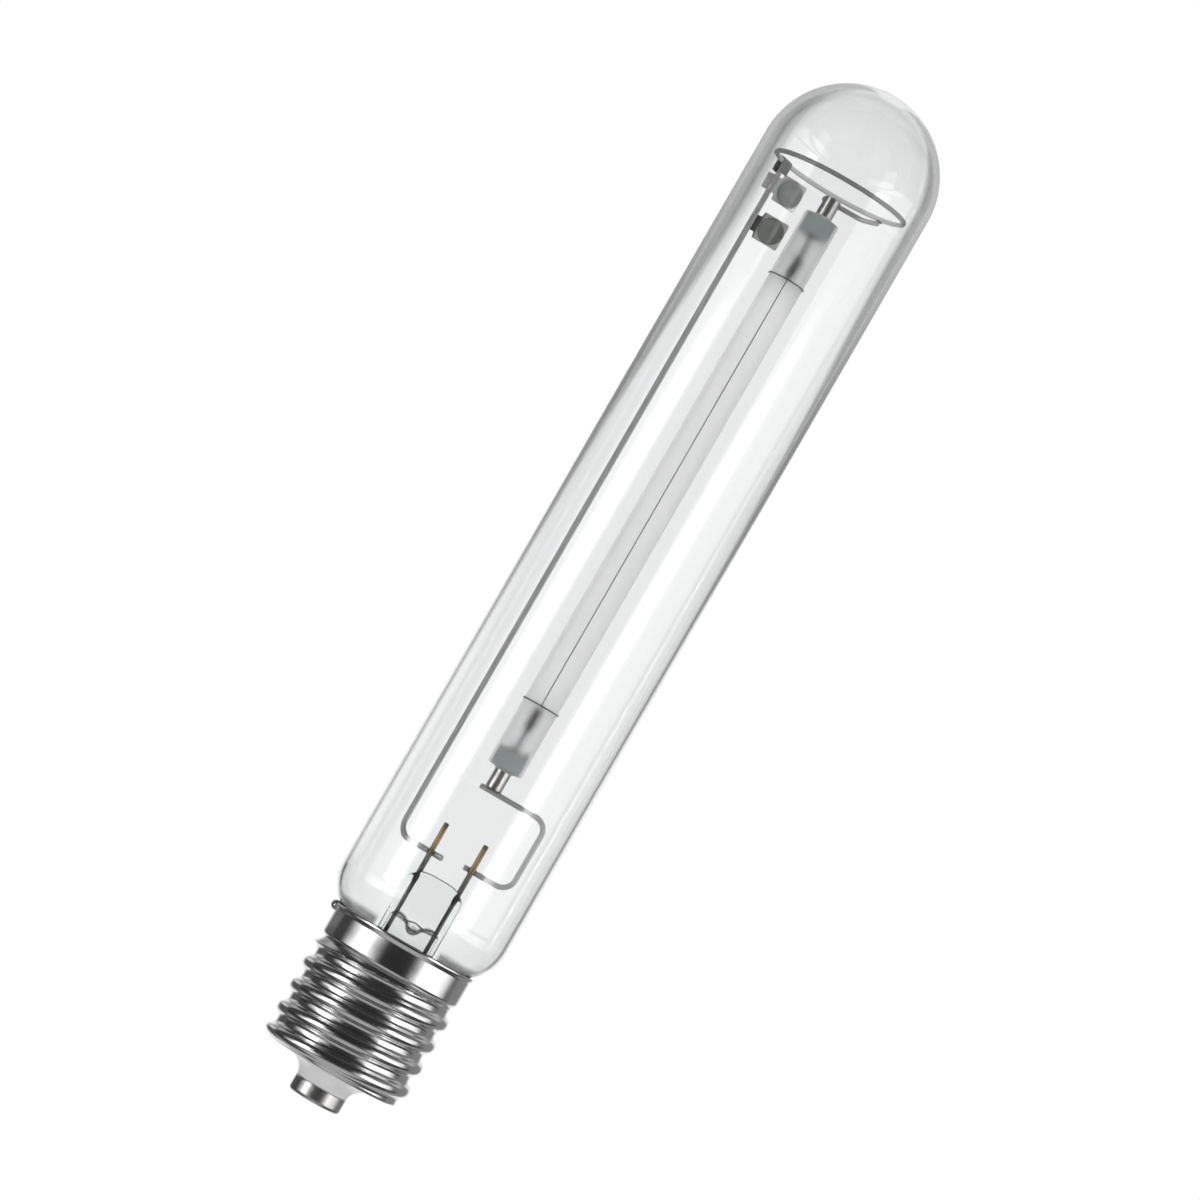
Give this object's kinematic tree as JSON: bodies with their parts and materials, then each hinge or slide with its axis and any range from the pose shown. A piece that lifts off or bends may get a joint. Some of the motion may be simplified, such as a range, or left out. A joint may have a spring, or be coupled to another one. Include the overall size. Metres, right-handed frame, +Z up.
{
  "type": "high pressure sodium lamp",
  "caption": "Tubular discharge lamp: clear glass bulb over a ceramic arc tube on a wire frame, with a screw cap that carries and feeds it.",
  "frame": {"origin": "middle of the centre contact's face, at the bottom of the cap", "axes": "+Z up the lamp's axis from the cap to the dome; -Y is the front, with the frame rod behind and to the left at -X +Y"},
  "size_m": [0.0467, 0.0466, 0.29],
  "materials": {
    "clear_glass": "clear blown glass",
    "stem_glass": "clear pressed glass with a green tint",
    "post_wire": "drawn wire, copper coloured towards the tip",
    "seal_metal": "dull drawn wire",
    "frame_wire": "drawn nickel plated wire",
    "nickel_strip": "rolled nickel strip",
    "getter_pellet": "matt pressed powder",
    "arc_ceramic": "translucent sintered alumina",
    "sealing_frit": "fused frit",
    "niobium": "smooth drawn tube",
    "tungsten": "dull wound wire",
    "amalgam": "liquid metal",
    "starting_wire": "dull thin wire",
    "cap_nickel": "nickel plated brass",
    "insulator_glass": "pale moulded glass",
    "solder": "dull tin solder",
    "cement": "baked capping cement"
  },
  "bodies": {
    "root": {"outer_bulb": "clear_glass", "glass_stem": "stem_glass", "left_lead_post": "post_wire", "right_lead_post": "post_wire", "left_seal_wire": "seal_metal", "right_seal_wire": "seal_metal", "contact_lead": "frame_wire", "shell_lead": "frame_wire", "frame_rod": "frame_wire", "dome_ring": "frame_wire", "ring_strap": "nickel_strip", "upper_crossbar": "frame_wire", "lower_connector": "frame_wire", "upper_getter_plate": "nickel_strip", "lower_getter_plate": "nickel_strip", "upper_getter_pellet": "getter_pellet", "lower_getter_pellet": "getter_pellet", "arc_tube": "arc_ceramic", "upper_end_plug": "arc_ceramic", "lower_end_plug": "arc_ceramic", "upper_frit_seal": "sealing_frit", "lower_frit_seal": "sealing_frit", "upper_feedthrough": "niobium", "lower_feedthrough": "niobium", "upper_electrode": "tungsten", "lower_electrode": "tungsten", "amalgam_dose": "amalgam", "starting_aid_wire": "starting_wire", "cap_shell": "cap_nickel", "cap_insulator": "insulator_glass", "centre_contact": "cap_nickel", "contact_solder": "solder", "side_solder": "solder", "capping_cement": "cement"}
  },
  "joints": []
}
